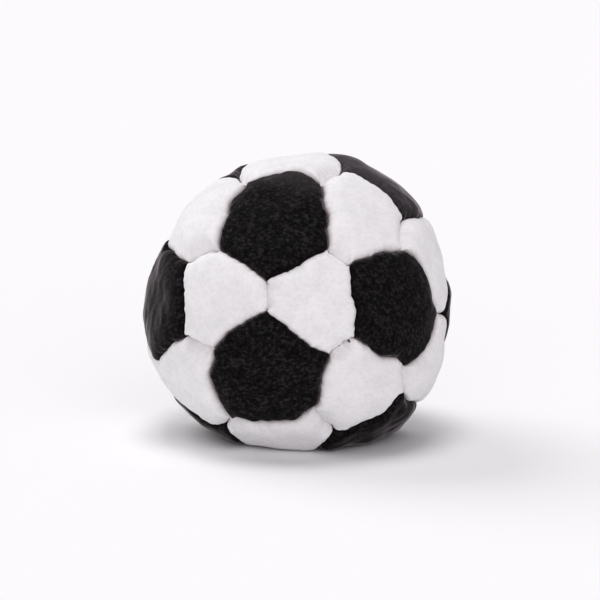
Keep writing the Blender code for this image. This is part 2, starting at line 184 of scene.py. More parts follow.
# Thread: a stitch's seven points lie this far across the seam and this far below its valley. It
# slants a little, and lies deeper at a seam between whites.
THREAD_RADIUS = 0.19
STITCH_ACROSS = np.array([-1.1, -0.7, -0.3, 0.0, 0.3, 0.7, 1.1])
STITCH_BELOW = np.array([1.1, 0.75, 0.3, 0.12, 0.3, 0.75, 1.1])
STITCH_SLANT = 0.06
SOFT_STITCH_DEPTH = 0.3
# Stitches that lie loose on a seam: the share of the seam where each shows, and its height
LOOSE_STITCHES = {("BC", "CB"): 0.75}
LOOSE_HEIGHT = 0.6

# Fill: room under the fabric, and how deep and wide it lies lower along the hems
FILL_ROOM = 0.9
FILL_VALLEY = 4.0
FILL_VALLEY_REACH = 1.9

# Camera, as the photograph was taken
PHOTO_SIZE = 600
BALL_PIXEL = (295.6, 306.5)
PIXELS_PER_METRE = 5500.0
CAMERA_DISTANCE = 1.20
SENSOR_WIDTH = 36.0

# Light: an even sky, two lamps from above and behind, and two softer ones from the front
SKY_COLOUR, SKY_STRENGTH = (1.0, 0.955, 1.0), 0.36
LAMPS = (
    ("lamp_above", (-0.02, 0.0, 1.0), 1.03, 25.0, (1.0, 1.0, 1.0)),
    ("lamp_behind_left", (-0.9, 0.8, 1.0), 1.14, 40.0, (1.0, 1.0, 1.0)),
    ("wide_lamp_front", (0.0, -1.0, 0.4), 0.60, 60.0, (1.0, 0.97, 1.0)),
    ("wide_lamp_front_right", (0.6, -1.0, 0.6), 0.29, 60.0, (1.0, 0.97, 1.0)),
)
BACKGROUND = (0.99, 0.99, 0.99)
TABLE_COLOUR = (0.945, 0.945, 0.945)
TABLE_HALF = 4.0

# Suede. Pile gives the colours from the darkest fleck to the palest, with each one's place on the
# ramp, and bump the pile's relief. The painted sheen colour is a painted highlight, added to the
# pile where it faces the light from above and behind.
BLACK_SUEDE = dict(
    pile=(
        (0.38, (0.0026, 0.0024, 0.0025)), (0.51, (0.0080, 0.0074, 0.0076)),
        (0.65, (0.0290, 0.0262, 0.0272)),
    ),
    darkest_patch=0.62, seam_colour=(0.006, 0.004, 0.004), painted_sheen_colour=(0.055, 0.049, 0.053),
    sheen=0.58, sheen_roughness=0.27, sheen_tint=(0.85, 0.77, 0.81), bump=0.38,
)
WHITE_SUEDE = dict(
    pile=(
        (0.34, (0.84, 0.825, 0.84)), (0.52, (0.90, 0.89, 0.90)), (0.66, (0.925, 0.92, 0.925)),
    ),
    darkest_patch=0.93, seam_colour=(0.50, 0.40, 0.40), painted_sheen_colour=(0.0, 0.0, 0.0),
    sheen=0.12, sheen_roughness=0.24, sheen_tint=(1.0, 0.98, 0.99), bump=0.3,
)
# Reach of the tint in the seams and height of the pile, in millimetres
TINT_REACH, PILE_HEIGHT = 0.22, 0.12
# The way in which the black pile is painted paler, a painted highlight for the light that it
# catches from above, and where along that way it begins and ends, in metres
PAINTED_SHEEN_SIDE = (0.25, 0.35, 0.90)
PAINTED_SHEEN_START, PAINTED_SHEEN_END = 0.0366, 0.0479

# Cloth: the panels are made this many times larger for it, because its settings suit large things
CLOTH_SCALE = 20.0
CLOTH_FRAMES = 20
CLOTH_PRESSURE = 4.0
CLOTH_GROWTH = 0.03
CLOTH_CAP = 0.7
CLOTH_EASING = 12
# How firmly a point is held: this much in the seam, less one for each reach from it
HOLD_START, HOLD_REACH = 1.15, 0.7
HOLD_LEVELS = 10


# The pattern of the panels

def lengths(vectors):
    """The length of each vector."""
    return np.linalg.norm(vectors, axis=-1, keepdims=True)


def unit(vectors):
    """Vectors divided by their own lengths."""
    return vectors / lengths(vectors)


def turned(axis, degrees):
    """The matrix of a turn about Y or Z."""
    c, s = math.cos(math.radians(degrees)), math.sin(math.radians(degrees))
    if axis == "Y":
        return np.array([[c, 0, s], [0, 1, 0], [-s, 0, c]])
    return np.array([[c, -s, 0], [s, c, 0], [0, 0, 1]])


def pointing(tip, turn):
    """The unit vector tipped from +Z and turned about Z."""
    return np.array([math.sin(tip) * math.cos(turn), math.sin(tip) * math.sin(turn), math.cos(tip)])


def black_centres():
    """The vertices of an icosahedron, by letter, turned as the ball lies."""
    centres = {"A": np.array([0, 0, 1.0]), "L": np.array([0, 0, -1.0])}
    fifth = math.tau / 5
    for index, letter in enumerate("DBCEH"):
        centres[letter] = pointing(NEXT_PENTAGON_ANGLE, index * fifth)
    for index, letter in enumerate("GFIJK"):
        centres[letter] = pointing(math.pi - NEXT_PENTAGON_ANGLE, (index + 0.5) * fifth)
    lie = turned("Z", STANDING_TURN) @ turned("Y", POLE_TIP) @ turned("Z", POLE_TURN)
    return {letter: lie @ centres[letter] for letter in BLACK_LETTERS}


CENTRES = black_centres()
# Pairs of pentagons that are neighbours
LINKED = {
    frozenset(pair) for pair in combinations(CENTRES, 2)
    if CENTRES[pair[0]] @ CENTRES[pair[1]] > math.cos(NEXT_PENTAGON_ANGLE * 1.2)
}


def seam_corners():
    """Corners on the unit ball. XY lies PENTAGON_SHARE of the way from X to Y, and then drifts."""
    corners = {}
    for pair in LINKED:
        for near, far in (tuple(pair), tuple(pair)[::-1]):
            place = unit(CENTRES[near] * (1 - PENTAGON_SHARE) + CENTRES[far] * PENTAGON_SHARE)
            to_right = unit(np.cross((0, 0, 1.0), place))
            upward = np.cross(place, to_right)
            right, up = CORNER_DRIFT.get(near + far, (0, 0))
            corners[near + far] = unit(place + (to_right * right + upward * up) / CROWN_RADIUS)
    return corners


CORNERS = seam_corners()


def round_about(names, centre):
    """Corner names sorted anticlockwise about a centre, seen from outside."""
    across = unit(CORNERS[names[0]] - centre * (centre @ CORNERS[names[0]]))
    upward = np.cross(centre, across)

    def turn(name):
        return math.atan2(CORNERS[name] @ upward, CORNERS[name] @ across)

    return sorted(names, key=turn)


def slerp(start, end, shares):
    """Points along the great arc from start to end, at an array of shares."""
    angle = math.acos(float(np.clip(start @ end, -1, 1)))
    shares = np.asarray(shares)[..., None]
    return (np.sin((1 - shares) * angle) * start + np.sin(shares * angle) * end) / math.sin(angle)


def sine_sum(heights, shares):
    """Waves that are 0 at both ends: each height times the sine of (its number) half turns."""
    return sum(
        height * np.sin(math.pi * (index + 1) * shares) for index, height in enumerate(heights)
    )


class Seam:
    """One sewn line, which leaves the great arc between its corners sideways.

    A long seam is one side of a black panel, and a short one lies between two whites.
    """

    def __init__(self, first, second):
        self.first, self.second = first, second
        self.start, self.end = CORNERS[first], CORNERS[second]
        self.side = unit(np.cross(self.start, self.end))
        self.angle = math.acos(float(self.start @ self.end))
        self.length = self.angle * CROWN_RADIUS
        self.is_long = first[0] == second[0]
        self.stitches = max(round(self.length / STITCH_PITCH), 3)
        seed = sum(ord(letter) * 7 ** place for place, letter in enumerate(first + second))
        chance = np.random.default_rng(seed)
        swing = np.sin(math.pi * BOW_SHARES)
        if self.is_long:
            by_chance = chance.uniform(-1, 1, 5) * swing * LOOSE_BOW
            values = -np.array(BOWS.get((first, second), by_chance))
        else:
            by_chance = chance.uniform(-0.5, 0.5) * LOOSE_BOW
            values = swing * WHITE_BOWS.get((first, second), by_chance)
        waves = np.sin(math.pi * np.outer(BOW_SHARES, np.arange(1, 6)))
        self.bow = np.linalg.solve(waves, values)
        self.uneven = chance.uniform(-STITCH_DRIFT, STITCH_DRIFT, 3)
        self.phases = chance.uniform(0, math.tau, 4)
        self.tucks = TUCKS.get((first, second), ())

    def stitch_wave(self, shares):
        """The stitches' phase, a whole turn per stitch, plus a few slow waves."""
        return math.tau * (self.stitches * shares + sine_sum(self.uneven, shares))

    def drawn(self, shares):
        """How hard the stitches are drawn along the seam: a mean and two slow waves, multiplied."""
        wave = self.stitch_wave(shares)
        slow = (
            np.sin(wave * DRAWN_WAVES[0] + self.phases[0])
            * np.sin(wave * DRAWN_WAVES[1] + self.phases[1])
        )
        return DRAWN_MEAN + DRAWN_SWING * slow

    def aside(self, shares, scallops=True):
        """Sideways distance from the great arc, in millimetres.

        It is a bow of five sine waves, plus a wobble and one scallop per stitch, a squared sine.
        The last two fade at the corners, as a power of one long sine.
        """
        shares = np.clip(shares, 0, 1)
        bow = sine_sum(self.bow, shares)
        if not scallops:
            return bow
        wobble = sum(
            height * np.sin(math.tau * self.length * shares / size + phase)
            for (height, size), phase in zip(WOBBLE, self.phases[2:])
        )
        scallop = SCALLOP * self.drawn(shares) * np.sin(self.stitch_wave(shares) / 2) ** 2
        return bow + (wobble + scallop) * np.sin(math.pi * shares) ** CORNER_FADE

    def points(self, shares, scallops=True):
        """Unit vectors along the seam: the great arc's, moved sideways."""
        aside = (self.aside(shares, scallops) / CROWN_RADIUS)[..., None]
        return unit(slerp(self.start, self.end, shares) + self.side * aside)


def all_panels():
    """Panel name to its corner names, anticlockwise from outside."""
    panels = {}
    for letter in sorted(CENTRES):
        names = [letter + other for other in CENTRES if frozenset((letter, other)) in LINKED]
        panels["black_pentagon_" + letter.lower()] = round_about(names, CENTRES[letter])
    for trio in combinations(sorted(CENTRES), 3):
        if all(frozenset(pair) in LINKED for pair in combinations(trio, 2)):
            names = [near + far for near in trio for far in trio if near != far]
            centre = unit(sum(CENTRES[letter] for letter in trio))
            panels["white_hexagon_" + "".join(trio).lower()] = round_about(names, centre)
    return panels


PANELS = all_panels()


def all_seams():
    """Seams by their two corner names. A black panel's own go anticlockwise about it."""
    seams = {}
    for name in sorted(PANELS):
        corners = PANELS[name]
        for first, second in zip(corners, corners[1:] + corners[:1]):
            if frozenset((first, second)) not in seams:
                seams[frozenset((first, second))] = Seam(first, second)
    return seams


SEAMS = all_seams()


# The ball's shape

def reach(ways):
    """The envelope's distance from the ball's centre, for unit vectors.

    It is the crown radius plus half a cosine wave for each swell. Where the table's plane is nearer
    than that, it is the plane's, and a parabola rounds the edge between the two.
    """
    rounded = np.full(ways.shape[:-1], CROWN_RADIUS)
    for letters, height in SWELL.items():
        middle = unit(sum(CENTRES[letter] for letter in letters))
        off = CROWN_RADIUS * np.arccos(np.clip(ways @ middle, -1, 1))
        swell = height * (0.5 + 0.5 * np.cos(math.pi * off / SWELL_REACH))
        rounded = rounded + np.where(off < SWELL_REACH, swell, 0)
    down = np.maximum(-ways[..., 2], 1e-6)
    flat = np.where(ways[..., 2] < -0.05, (CROWN_RADIUS - BASE_PRESS) / down, 1e3)
    overlap = np.maximum(BASE_EDGE_BLEND - np.abs(rounded - flat), 0)
    return np.minimum(rounded, flat) - overlap ** 2 / (4 * BASE_EDGE_BLEND)


def waves_noise(points, size, seed, count=24):
    """Smooth lumps between about -1 and 1: sine waves of about one length, in random directions."""
    chance = np.random.default_rng(seed)
    ways = unit(chance.normal(size=(count, 3)))
    ways = ways * chance.uniform(0.7, 1.4, (count, 1)) * (math.tau / size)
    waves = np.sin(points @ ways.T + chance.uniform(0, math.tau, count))
    return waves.sum(-1) * math.sqrt(2 / count)


def nearness(distances):
    """How near each side is: its distance to the power of -SIDE_POWER."""
    return np.maximum(distances, 1e-4) ** -SIDE_POWER


class Panel:
    """One panel: kite-shaped patches from each corner to its centre, and its shape over them."""

    def __init__(self, name):
        self.name = name
        self.is_black = name.startswith("black")
        self.names = PANELS[name]
        self.count = len(self.names)
        self.centre = unit(sum(CORNERS[key] for key in self.names))
        self.sides = []
        for first, second in zip(self.names, self.names[1:] + self.names[:1]):
            seam = SEAMS[frozenset((first, second))]
            self.sides.append((seam, seam.first == first))
        self.rise = PANEL_RISE.get(name, 0.0)
        self.firm = np.array([1.0 if seam.is_long else 0.0 for seam, _ in self.sides])
        self.seed = sum(ord(letter) * (place + 3) for place, letter in enumerate(name))

    def side_points(self, side, shares, scallops):
        """Points along a side, from its first corner as the panel goes round."""
        seam, forward = self.sides[side % self.count]
        return seam.points(shares if forward else 1 - shares, scallops)

    def patches(self, cells, scallops=True):
        """Unit vectors on one grid per corner, a blend of its two half sides and its two spokes.

        Rows crowd towards the seams, as a power of their number. Along u the grid follows the side
        after the corner, along v the side before it, and both end in the panel's centre.
        """
        steps = (np.arange(cells + 1) / cells) ** CLUSTER
        u, v = steps[:, None, None], steps[None, :, None]
        grids = []
        for corner in range(self.count):
            after = self.side_points(corner, steps / 2, scallops)
            before = self.side_points(corner - 1, 1 - steps / 2, scallops)
            tip, after_middle, before_middle = after[0], after[-1], before[-1]
            to_centre = before_middle + (self.centre - before_middle) * u
            from_middle = after_middle + (self.centre - after_middle) * v
            flat = (
                (1 - v) * after[:, None] + v * to_centre
                + (1 - u) * before[None, :] + u * from_middle
                - (1 - u) * (1 - v) * tip - u * (1 - v) * after_middle
                - (1 - u) * v * before_middle - u * v * self.centre
            )
            grids.append(unit(flat))
        return np.array(grids)

    def from_sides(self, ways, scallops=True):
        """Distance to each side and the share along it, and one smooth distance to all of them."""
        distances, shares = [], []
        for seam, forward in self.sides:
            inward = seam.side if forward else -seam.side
            onward = np.cross(seam.side, seam.start)
            along = np.arctan2(ways @ onward, ways @ seam.start) / seam.angle
            aside = seam.aside(along, scallops) * (1 if forward else -1)
            distances.append(np.arcsin(np.clip(ways @ inward, -1, 1)) * CROWN_RADIUS - aside)
            shares.append(along)
        distances = np.maximum(np.array(distances), 0)
        together = nearness(distances).sum(0) ** (-1 / SIDE_POWER)
        return distances, np.array(shares), together

    def apart(self, ways, distances, inset=0.0):
        """Directions moved off the seams by half the gap and an inset, which fade inwards."""
        shift = np.zeros_like(ways)
        for (seam, forward), distance, firm in zip(self.sides, distances, self.firm):
            inward = seam.side if forward else -seam.side
            off = SEAM_GAP / 2 * (SOFT_GAP_SHARE + (1 - SOFT_GAP_SHARE) * firm) + inset
            shift += inward * (off * np.exp(-distance / GAP_REACH))[..., None]
        return unit(ways + shift / CROWN_RADIUS)

    def crown_depth(self, together):
        """Depth of the flattened crown, times 1 - exp(-(distance to the seam / reach) ** 2)."""
        return (FLAT_CROWN - self.rise) * (1 - np.exp(-(together / CROWN_REACH) ** 2))

    def broad_depth(self, distances, together):
        """Depth below the envelope: an edge, a slope that fades behind it, and the crown.

        The rolled edge is a round of the given power, and the soft one a parabola's arm. They are
        blended by how near the sides of each kind are.
        """
        near_sides = nearness(distances)
        firm = np.tensordot(self.firm, near_sides, 1) / near_sides.sum(0)
        near = 1 - np.clip(together / EDGE_ROLL, 0, 1)
        rolled = EDGE_DEPTH * (1 - (1 - near ** EDGE_POWER) ** (1 / EDGE_POWER))
        soft = SOFT_DEPTH * (1 - np.clip(together / SOFT_ROLL, 0, 1)) ** SOFT_POWER
        slope = SHOULDER_SLOPE * np.exp(-together / SHOULDER_REACH)
        return firm * rolled + (1 - firm) * soft + slope + self.crown_depth(together)

    def fine_depth(self, distances, shares):
        """Pinches at the stitches, puckers that run in from them, and tucks.

        A pinch is a squared cosine wave along the seam, a pucker a plain one, and a tuck a bell.
        All of them fade with the distance from the seam.
        """
        depth = np.zeros_like(distances[0])
        for (seam, _), distance, share, firm in zip(self.sides, distances, shares, self.firm):
            wave = seam.stitch_wave(share)
            kind = SOFT_STITCH_SHARE + (1 - SOFT_STITCH_SHARE) * firm
            drawn = ((share > -0.02) & (share < 1.02)) * seam.drawn(share) * kind
            at_stitch = (0.5 + 0.5 * np.cos(wave)) ** 2
            depth += drawn * PINCH * at_stitch * np.exp(-distance / PINCH_REACH)
            fading = np.exp(-distance / PUCKER_REACH) * np.minimum(distance, 1)
            depth += drawn * PUCKER * np.cos(wave) * fading
            for middle, deep, wide in seam.tucks:
                along = (share - middle) * seam.length / wide
                depth += deep * np.exp(-along ** 2 - distance / TUCK_REACH)
        return depth

    def lumps(self, points):
        """Soft unevenness from the fill, as waves of two sizes."""
        return sum(
            height * waves_noise(points, size, self.seed + index)
            for index, (height, size) in enumerate(LUMPS)
        )


# Meshes

def welded(points):
    """Points given twice become one: returns the points kept and where each given one went."""
    flat = points.reshape(-1, 3)
    keys = np.round(flat / WELD_DISTANCE).astype(np.int64)
    _, first, where = np.unique(keys, axis=0, return_index=True, return_inverse=True)
    return flat[first], where.reshape(points.shape[:-1])


def grid_quads(where):
    """Four corner numbers per cell of every patch."""
    low, high = slice(None, -1), slice(1, None)
    corners = ((low, low), (high, low), (high, high), (low, high))
    return np.stack([where[:, row, column] for row, column in corners], -1).reshape(-1, 4)


def rim(grids):
    """The values round a panel's outline, anticlockwise, from its patches' outer rows."""
    cells = grids.shape[1] - 1
    parts = []
    for corner in range(grids.shape[0]):
        parts.append(grids[corner, :cells, 0])
        parts.append(grids[(corner + 1) % grids.shape[0], 0, cells:0:-1])
    return np.concatenate(parts)


def ring_quads(upper, lower):
    """A band of quads between two closed rows of as many points, facing away from the panel."""
    return np.stack([upper, lower, np.roll(lower, -1), np.roll(upper, -1)], -1)


def ring_triangles(fine, coarse):
    """A band of triangles between two closed rows, the first of them with several times the points.

    Each fine step has a triangle to the nearest coarse point, and each coarse step has one to the
    fine point half way.
    """
    ratio = len(fine) // len(coarse)
    numbers = np.arange(len(fine))
    nearest = coarse[((numbers + ratio - ratio // 2) // ratio) % len(coarse)]
    halfway = fine[np.arange(len(coarse)) * ratio + ratio // 2]
    fans = np.stack([fine, nearest, np.roll(fine, -1)], -1)
    bridges = np.stack([halfway, coarse, np.roll(coarse, -1)], -1)
    return np.concatenate([fans, bridges])


def make_mesh(name, points, quads, others=()):
    """A mesh out of arrays, in metres and in the frame's place. The others are more faces."""
    mesh = bpy.data.meshes.new(name)
    faces = np.asarray(quads).tolist() + np.asarray(others).tolist()
    mesh.from_pydata(((points + BALL_CENTRE) * MM).tolist(), [], faces)
    mesh.shade_smooth()
    mesh.update()
    return mesh


def put(name, data):
    """A new object in the scene."""
    made = bpy.data.objects.new(name, data)
    bpy.context.scene.collection.objects.link(made)
    return made


def show(name, mesh, material):
    """A finished piece at the origin, riding on the bag's one body."""
    made = put(name, mesh)
    mesh.materials.append(material)
    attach(made, "root")
    return made


# Cloth

def blown_panels(panels):
    """How far a cloth simulation moves each panel's coarse grid, in millimetres.

    All panels are sheets of one large mesh, held at their seams, a little too big for their
    outline and under pressure from inside. Each move is capped to cap * tanh(length / cap).
    """
    wheres, starts, points, quads, held = [], [], [], [], []
    count = 0
    for panel in panels:
        ways = panel.patches(CLOTH_CELLS, scallops=False)
        distances, _, together = panel.from_sides(ways, scallops=False)
        place = ways * (reach(ways) - panel.broad_depth(distances, together))[..., None]
        place = place + unit(ways) * panel.lumps(place)[..., None]
        flat, where = welded(place)
        hold = np.zeros(len(flat))
        hold[where.reshape(-1)] = np.clip(HOLD_START - together.reshape(-1) / HOLD_REACH, 0, 1)
        wheres.append(where)
        starts.append(count)
        points.append(flat)
        quads.append(grid_quads(where) + count)
        held.append(hold)
        count += len(flat)
    points, quads, held = np.concatenate(points), np.concatenate(quads), np.concatenate(held)
    move = blown_out(points, quads, held) - points
    far = lengths(move)
    move *= CLOTH_CAP * np.tanh(far / CLOTH_CAP) / np.maximum(far, 1e-9)
    move = eased(move, quads)
    return [move[start + where] for start, where in zip(starts, wheres)]


def blown_out(points, quads, held):
    """Where the simulation takes a sheet's points, each held as firmly as its share says."""
    mesh = bpy.data.meshes.new("cloth")
    mesh.from_pydata((points * MM * CLOTH_SCALE).tolist(), [], quads.tolist())
    cloth = put("cloth", mesh)
    group = cloth.vertex_groups.new(name="held")
    for level in range(1, HOLD_LEVELS + 1):
        members = np.nonzero(np.round(held * HOLD_LEVELS) == level)[0]
        group.add(members.tolist(), level / HOLD_LEVELS, "REPLACE")
    modifier = cloth.modifiers.new("Cloth", "CLOTH")
    settings = modifier.settings
    settings.vertex_group_mass = "held"
    settings.quality = 6
    settings.mass = 0.3
    settings.tension_stiffness = 15
    settings.compression_stiffness = 15
    settings.shear_stiffness = 5
    settings.bending_stiffness = 0.5
    settings.air_damping = 1.0
    settings.shrink_min = -CLOTH_GROWTH
    settings.use_pressure = True
    settings.uniform_pressure_force = CLOTH_PRESSURE
    settings.effector_weights.gravity = 0
    modifier.collision_settings.use_collision = False
    modifier.point_cache.frame_start, modifier.point_cache.frame_end = 1, CLOTH_FRAMES
    scene = bpy.context.scene
    for step in range(1, CLOTH_FRAMES + 1):
        scene.frame_set(step)
    shown = cloth.evaluated_get(bpy.context.evaluated_depsgraph_get())
    after = np.zeros(len(points) * 3, np.float32)
    shown.data.vertices.foreach_get("co", after)
    bpy.data.objects.remove(cloth)
    scene.frame_set(1)
    return after.reshape(-1, 3).astype(float) / (MM * CLOTH_SCALE)


def eased(move, quads):
    """A movement without its small wrinkles.

    Some times over, each point's move goes half way to the mean of its neighbours' moves.
    """
    ends = np.concatenate([quads[:, [side, (side + 1) % 4]] for side in range(4)])
    ends = np.unique(np.sort(ends, axis=1), axis=0)
    degree = np.bincount(ends.reshape(-1), minlength=len(move))[:, None]
    for _ in range(CLOTH_EASING):
        total = np.zeros_like(move)
        np.add.at(total, ends[:, 0], move[ends[:, 1]])
        np.add.at(total, ends[:, 1], move[ends[:, 0]])
        move = (move + total / np.maximum(degree, 1)) / 2
    return move


def refined(moves, cells):
    """Moves on a coarse grid brought to a finer one by cubic weights.

    A row beyond each spoke comes from the next patch, and one beyond the seam goes on as it came.
    """
    coarse = moves.shape[1] - 1
    padded = np.zeros((moves.shape[0], coarse + 3, coarse + 3, 3))
    padded[:, 1:-1, 1:-1] = moves
    padded[:, -1, 1:-1] = np.roll(moves, -1, axis=0)[:, :, -2]
    padded[:, 1:-1, -1] = np.roll(moves, 1, axis=0)[:, -2, :]
    centre = moves[:, -1, -1]
    padded[:, -1, -1] = centre
    padded[:, -1, -2] = 2 * centre - moves[:, -2, -1]
    padded[:, -2, -1] = 2 * centre - moves[:, -1, -2]
    padded[:, 0, 1:] = 2 * padded[:, 1, 1:] - padded[:, 2, 1:]
    padded[:, :, 0] = 2 * padded[:, :, 1] - padded[:, :, 2]
    places = np.arange(cells + 1) / cells * coarse
    low = np.minimum(places.astype(int), coarse - 1)
    t = places - low
    weights = np.zeros((cells + 1, coarse + 3))
    rows = np.arange(cells + 1)
    weights[rows, low] += (-t + 2 * t ** 2 - t ** 3) / 2
    weights[rows, low + 1] += (2 - 5 * t ** 2 + 3 * t ** 3) / 2
    weights[rows, low + 2] += (t + 4 * t ** 2 - 3 * t ** 3) / 2
    weights[rows, low + 3] += (-t ** 2 + t ** 3) / 2
    return np.einsum("ai,kijc,bj->kabc", weights, padded, weights)


# Panels

def panel_top(panel, move):
    """The top's directions, its places, and each one's distance to the panel's black seams.

    A place is its direction, parted at the seams, times the envelope less the depths, plus lumps
    and the cloth's move. It stays over the table.
    """
    ways = panel.patches(TOP_CELLS)
    distances, shares, together = panel.from_sides(ways)
    parted = panel.apart(ways, distances)
    depth = panel.broad_depth(distances, together) + panel.fine_depth(distances, shares)
    place = parted * (reach(ways) - depth)[..., None]
    place = place + parted * panel.lumps(place)[..., None]
    if move is not None:
        free = np.clip(together / MOVE_REACH, 0, 1)
        place = place + refined(move, TOP_CELLS) * free[..., None]
    place[..., 2] = np.maximum(place[..., 2], TABLE_ROOM - BALL_CENTRE[2])
    return ways, place, distances[panel.firm > 0].min(0)


def panel_back(panel):
    """The back's places: the broad shape, moved in from the seams and down by the fabric."""
    ways = panel.patches(BACK_CELLS, scallops=False)
    ways = panel.apart(ways, panel.from_sides(ways, scallops=False)[0], FABRIC)
    distances, _, together = panel.from_sides(ways, scallops=False)
    depth = panel.broad_depth(distances, together) + FABRIC + BACK_ROOM
    return ways * (reach(ways) - depth)[..., None]


def build_panel(panel, move, material):
    """One panel as a closed shell: its top, a hem down into the seam, and a plain back."""
    ways, place, from_black = panel_top(panel, move)
    top, where = welded(place)
    edge = rim(where)
    step, hem = (rim(ways) * (lengths(top[edge]) - down) for down in (HEM_STEP, HEM_DEPTH))
    back, back_where = welded(panel_back(panel))
    back_edge = rim(back_where)
    foot = unit(back[back_edge]) * (lengths(back[back_edge]) - HEM_DEPTH)

    points = [top, step, hem, back, foot]
    step_at, hem_at, back_at, foot_at = np.cumsum([len(part) for part in points[:-1]])
    step_row, hem_row = np.arange(len(step)) + step_at, np.arange(len(hem)) + hem_at
    foot_row = np.arange(len(foot)) + foot_at
    quads = [
        grid_quads(where),
        ring_quads(edge, step_row),
        ring_quads(step_row, hem_row),
        grid_quads(back_where)[:, ::-1] + back_at,
        ring_quads(back_edge + back_at, foot_row)[:, ::-1],
    ]
    points = np.concatenate(points)
    mesh = make_mesh(panel.name, points, np.concatenate(quads), ring_triangles(hem_row, foot_row))
    far = np.zeros(len(points), np.float32)
    far[where.reshape(-1)] = from_black.reshape(-1)
    mesh.attributes.new("seam_distance", "FLOAT", "POINT").data.foreach_set("value", far)
    lay_cut(mesh, panel, points)
    return show(panel.name.replace("pentagon", "panel").replace("hexagon", "panel"), mesh, material)


def lay_cut(mesh, panel, points):
    """UV map "cut": each point's place on the flat cut of its panel, in millimetres.

    It lies as far from the cut's middle as on the ball, the same way. Every cut is turned and
    placed by chance on the fabric.
    """
    chance = np.random.default_rng(panel.seed)
    grain = unit(np.cross(panel.centre, chance.normal(size=3)))
    across = np.cross(panel.centre, grain)
    ways = unit(points)
    height = np.clip(ways @ panel.centre, -1, 1)
    flat = unit(ways - height[:, None] * panel.centre + 1e-9 * grain)
    spread = np.arccos(height) * CROWN_RADIUS
    place = np.stack([flat @ grain, flat @ across], -1) * spread[:, None] + chance.uniform(0, 50, 2)
    numbers = np.zeros(len(mesh.loops), np.int32)
    mesh.loops.foreach_get("vertex_index", numbers)
    flat_cut = place[numbers].astype(np.float32).reshape(-1)
    mesh.uv_layers.new(name="cut").data.foreach_set("uv", flat_cut)


# Threads

def tube(path, radius, sides=6):
    """A round profile carried along an open path: each point plus a circle across its direction."""
    ways = unit(np.gradient(path, axis=0))
    across = unit(np.cross(ways, unit(path)))
    rise = np.cross(across, ways)
    angles = np.arange(sides) * math.tau / sides
    points = (
        path[:, None] + radius * np.cos(angles)[None, :, None] * across[:, None]
        + radius * np.sin(angles)[None, :, None] * rise[:, None]
    )
    numbers = np.arange(len(path) * sides).reshape(len(path), sides)
    following = np.roll(numbers, -1, axis=1)
    quads = np.stack([numbers[:-1], numbers[1:], following[1:], following[:-1]], -1)
    caps = [numbers[0], numbers[-1][::-1]]
    return points.reshape(-1, 3), quads.reshape(-1, 4), caps


def stitches_along(seam):
    """A thread's path along a seam: over it at every stitch, and on beside it under the fabric.

    A stitch lies where the stitches' wave is at a whole turn. Every second one goes back across.
    """
    valley = SHOULDER_SLOPE + (EDGE_DEPTH if seam.is_long else SOFT_DEPTH + SOFT_STITCH_DEPTH)
    number = np.arange(1, seam.stitches)
    depth = valley + np.tile(STITCH_BELOW, (len(number), 1))
    loose = LOOSE_STITCHES.get((seam.first, seam.second))
    if loose is not None:
        depth[int(round(loose * seam.stitches)) - 1] -= LOOSE_HEIGHT
    finely = np.linspace(0, 1, 400)
    places = np.interp(number * math.tau, seam.stitch_wave(finely), finely)
    turn = np.where(number % 2 == 0, 1, -1)
    asides = STITCH_ACROSS * turn[:, None]
    shares = places[:, None] + STITCH_SLANT / seam.length * STITCH_ACROSS
    middle = seam.points(shares.reshape(-1))
    path = unit(middle + seam.side * (asides.reshape(-1, 1) / CROWN_RADIUS))
    return path * (reach(middle) - depth.reshape(-1))[:, None]


def smooth_path(path, times):
    """Points between those of a path, on cubic curves through them."""
    padded = np.concatenate([2 * path[:1] - path[1:2], path, 2 * path[-1:] - path[-2:-1]])
    t = (np.arange(times) / times)[None, :, None]
    before, here, there, beyond = (
        padded[start:len(path) - 1 + start][:, None] for start in range(4)
    )
    between = (
        here + t * (there - before) / 2 + t ** 2 * (before - 2.5 * here + 2 * there - beyond / 2)
        + t ** 3 * (1.5 * (here - there) + (beyond - before) / 2)
    )
    return np.concatenate([between.reshape(-1, 3), path[-1:]])


def thread_round(letter):
    """The stitches round one pentagon, and along the white seams that go down from its corners."""
    points, quads, caps, count = [], [], [], 0
    for names, seam in SEAMS.items():
        higher = max(names, key=lambda name: CENTRES[name[0]][2])
        if higher[0] != letter:
            continue
        piece, faces, ends = tube(smooth_path(stitches_along(seam), 3), THREAD_RADIUS)
        points.append(piece)
        quads.append(faces + count)
        caps += [end + count for end in ends]
        count += len(piece)
    return make_mesh("stitches", np.concatenate(points), np.concatenate(quads), caps)


# Fill

def build_fill(panels, material):
    """The pellets as one closed body under the panels' backs, with a valley round every hem.

    Its depth below the envelope is the crown's own, the fabric with some room, and the valley
    times exp(-(distance to the seam / reach) ** 4). All panels have the same depth at a seam.
    """
    points = []
    for panel in panels:
        ways = panel.patches(BACK_CELLS, scallops=False)
        together = panel.from_sides(ways, scallops=False)[2]
        valley = FILL_VALLEY * np.exp(-(together / FILL_VALLEY_REACH) ** 4)
        depth = panel.crown_depth(together) + FABRIC + FILL_ROOM + valley
        depth[:, 0, :] = depth[:, :, 0] = FABRIC + FILL_ROOM + FILL_VALLEY
        points.append(ways * (reach(ways) - depth)[..., None])
    flat, where = welded(np.concatenate(points))
    mesh = make_mesh("pellet_fill", flat, grid_quads(where))
    return show("loose_fill", mesh, material)


# Materials

def fit(tree, node, *values, **settings):
    """Settings on a node: its own, those of its inputs by name, and values for them in order.

    What comes out of another node is linked.
    """
    inputs = list(enumerate(values))
    for key, value in settings.items():
        if hasattr(node, key):
            setattr(node, key, value)
        else:
            inputs.append((key.replace("_", " "), value))
    for key, value in inputs:
        if isinstance(value, bpy.types.NodeSocket):
            tree.links.new(value, node.inputs[key])
        else:
            node.inputs[key].default_value = value
    return node


def add(tree, kind, *values, **settings):
    """A new node of a kind, with its settings."""
    return fit(tree, tree.nodes.new(kind), *values, **settings)


